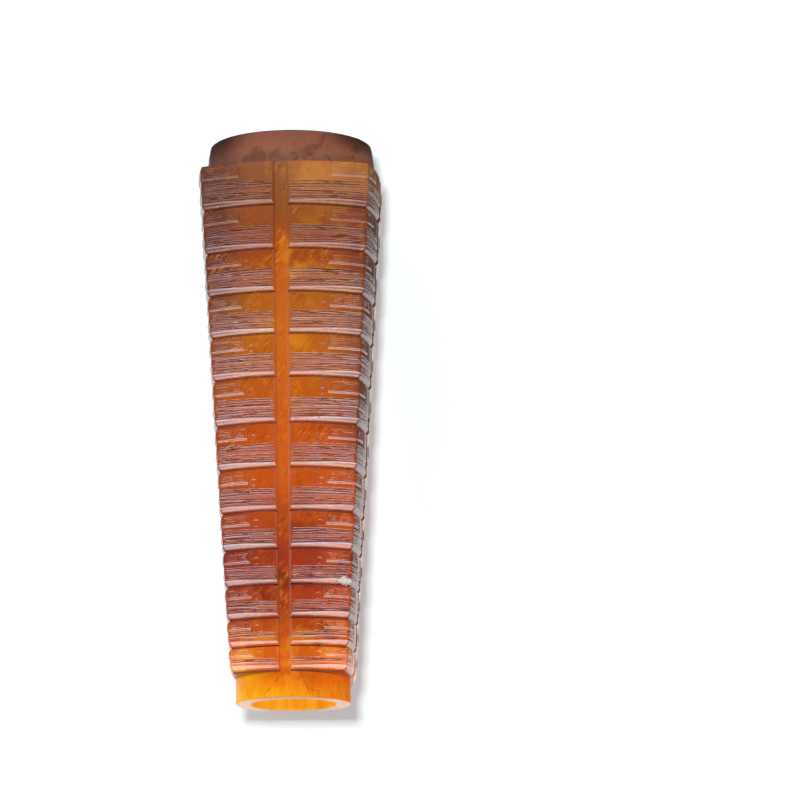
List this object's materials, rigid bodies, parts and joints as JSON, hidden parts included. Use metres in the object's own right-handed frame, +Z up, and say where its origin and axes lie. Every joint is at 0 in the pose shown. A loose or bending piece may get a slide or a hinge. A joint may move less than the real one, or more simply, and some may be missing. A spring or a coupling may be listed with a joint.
{
  "type": "cong tube",
  "caption": "Tall tapering square stone tube with round collars, a central bore, four upright channels and stepped carved tiers.",
  "frame": {"origin": "centre of the foot's end face, on the bore's axis, where the cong stands", "axes": "+Z up along the bore's axis from the narrow foot to the wide top, -Y out of the front face, +X to the right"},
  "size_m": [0.088, 0.088, 0.275],
  "materials": {
    "jade": "translucent amber to russet jade, polished",
    "lime": "white granular lime crust, matt"
  },
  "bodies": {
    "root": {"cong_body": "jade", "lime_deposit": "lime"}
  },
  "joints": []
}
